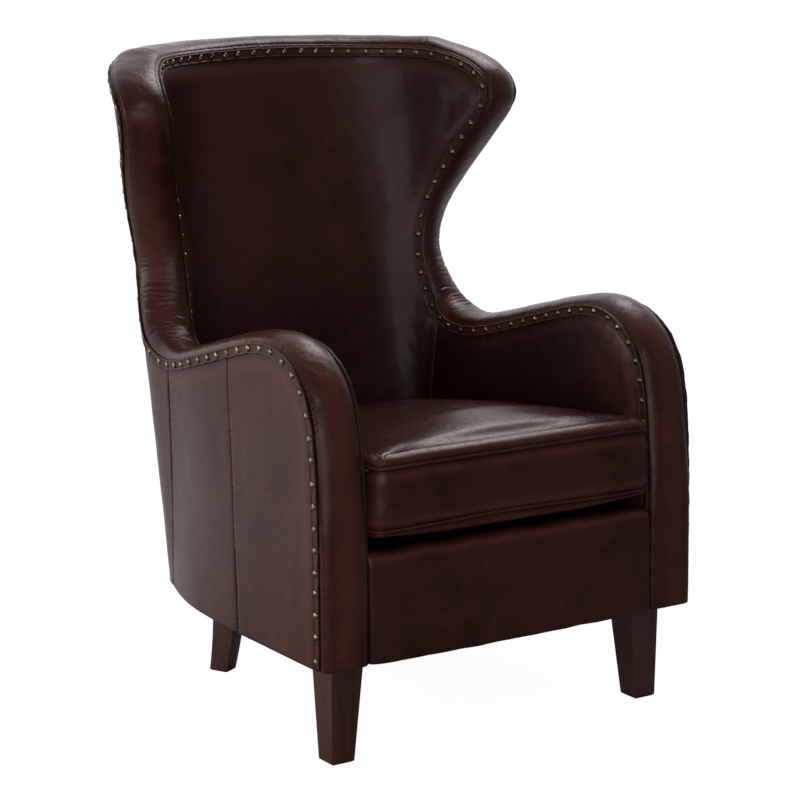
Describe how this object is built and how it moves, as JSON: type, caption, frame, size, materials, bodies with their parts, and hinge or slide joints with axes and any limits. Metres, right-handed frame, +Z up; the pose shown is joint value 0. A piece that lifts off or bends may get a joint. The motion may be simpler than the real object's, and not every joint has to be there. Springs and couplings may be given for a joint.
{
  "type": "wingback armchair",
  "caption": "Leather wingback armchair with a curved tub back, rolled edges with studded bands, a loose welted box cushion, tapered front legs and swept rear legs.",
  "frame": {"origin": "middle of the chair's outer box, on the floor", "axes": "+Z up, the chair faces -Y, +X to the right of a person who stands in front of it and looks at it"},
  "size_m": [0.7668, 0.8154, 1.0298],
  "materials": {
    "leather": "glossy hand-rubbed dark brown leather, reddish where it is worn",
    "band_leather": "satin dark brown leather band with antique brass nails",
    "leg_wood": "satin dark mahogany stain",
    "frame_wood": "raw planed hardwood",
    "foam": "matte open-cell foam",
    "lining_cloth": "matte black lining cloth",
    "webbing": "matte woven elastic webbing",
    "spring_steel": "bare drawn wire",
    "bolt_steel": "zinc plated",
    "zip_metal": "antique brass zip"
  },
  "bodies": {
    "chair": {"front_post_right": "frame_wood", "front_post_left": "frame_wood", "arm_rail_right": "frame_wood", "arm_rail_left": "frame_wood", "wing_frame_right": "frame_wood", "wing_frame_left": "frame_wood", "top_rail": "frame_wood", "side_rail_right": "frame_wood", "side_rail_left": "frame_wood", "back_rail": "frame_wood", "back_post_right": "frame_wood", "back_post_left": "frame_wood", "lumbar_rail": "frame_wood", "front_rail": "frame_wood", "leg_front_right": "leg_wood", "leg_front_left": "leg_wood", "corner_block_front_right": "frame_wood", "corner_block_front_left": "frame_wood", "leg_bolt_front_right": "bolt_steel", "leg_bolt_front_left": "bolt_steel", "leg_rear_right": "leg_wood", "leg_rear_left": "leg_wood", "corner_block_rear_right": "frame_wood", "corner_block_rear_left": "frame_wood", "leg_bolt_rear_right": "bolt_steel", "leg_bolt_rear_left": "bolt_steel", "seat_spring_1": "spring_steel", "seat_spring_2": "spring_steel", "seat_spring_3": "spring_steel", "seat_spring_4": "spring_steel", "back_strap_1": "webbing", "back_strap_2": "webbing", "back_strap_3": "webbing", "inside_back_cover": "leather", "inside_back_pad": "foam", "inside_arm_cover_right": "leather", "inside_arm_cover_left": "leather", "inside_arm_pad_right": "foam", "inside_arm_pad_left": "foam", "outside_back": "leather", "outside_arm_front_right": "leather", "outside_arm_front_left": "leather", "outside_arm_rear_right": "leather", "outside_arm_rear_left": "leather", "edge_roll_right": "leather", "edge_roll_left": "leather", "top_roll": "leather", "inner_band": "band_leather", "outer_band": "band_leather", "seat_deck": "lining_cloth", "front_panel": "leather", "dust_cover": "lining_cloth"},
    "cushion": {"cushion_cover": "leather", "cushion_core": "foam", "cushion_zip": "zip_metal", "cushion_welt_lower": "leather", "cushion_welt_upper": "leather"}
  },
  "joints": [
    {"name": "cushion_lift", "type": "slide", "parent": "chair", "child": "cushion", "axis": [0, 0, 1], "range_m": [0, 0.25]}
  ]
}
